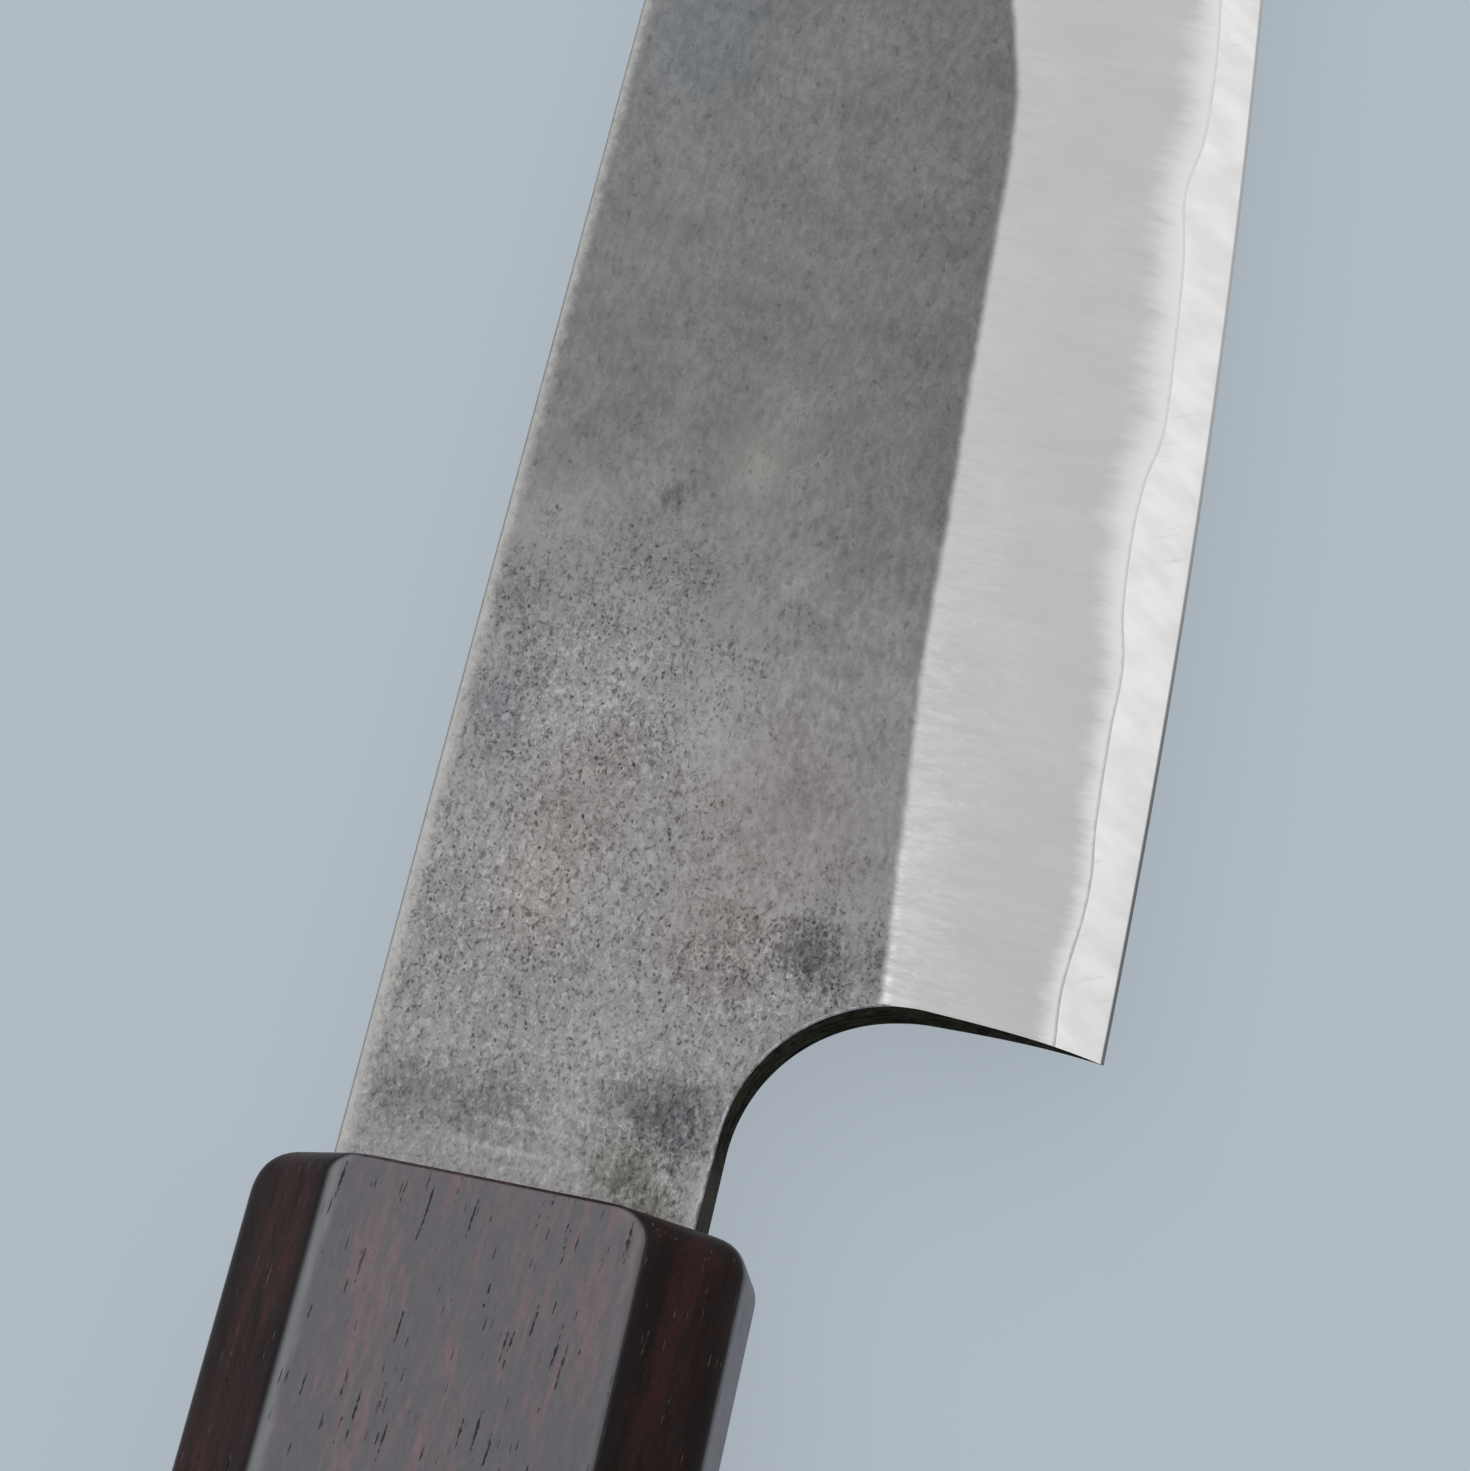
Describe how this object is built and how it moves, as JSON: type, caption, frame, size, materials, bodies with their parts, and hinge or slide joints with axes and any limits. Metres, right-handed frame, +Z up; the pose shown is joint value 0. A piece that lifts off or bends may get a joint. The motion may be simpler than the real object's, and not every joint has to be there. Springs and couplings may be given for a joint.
{
  "type": "petty knife",
  "caption": "Small kitchen knife with a three-layer double-bevel blade, a hidden tang and an octagonal wooden handle with a ferrule.",
  "frame": {"origin": "middle of the bounding box in plan, on the surface that the knife lies on", "axes": "+X along the knife towards the tip, +Y towards the spine, +Z up, out of the blade's right-hand face"},
  "size_m": [0.2644, 0.0331, 0.0156],
  "materials": {
    "core_steel": "satin, fine scratches across the edge",
    "cladding_steel": "dark mottled forged flat, satin ground bevel",
    "rosewood": "dark open-pored wood, waxed",
    "pale_wood": "bare, turned",
    "adhesive": "set adhesive"
  },
  "bodies": {
    "root": {"blade_core": "core_steel", "cladding_right": "cladding_steel", "cladding_left": "cladding_steel", "ferrule": "rosewood", "handle_body": "rosewood", "handle_dowel": "pale_wood", "tang_adhesive": "adhesive"}
  },
  "joints": []
}
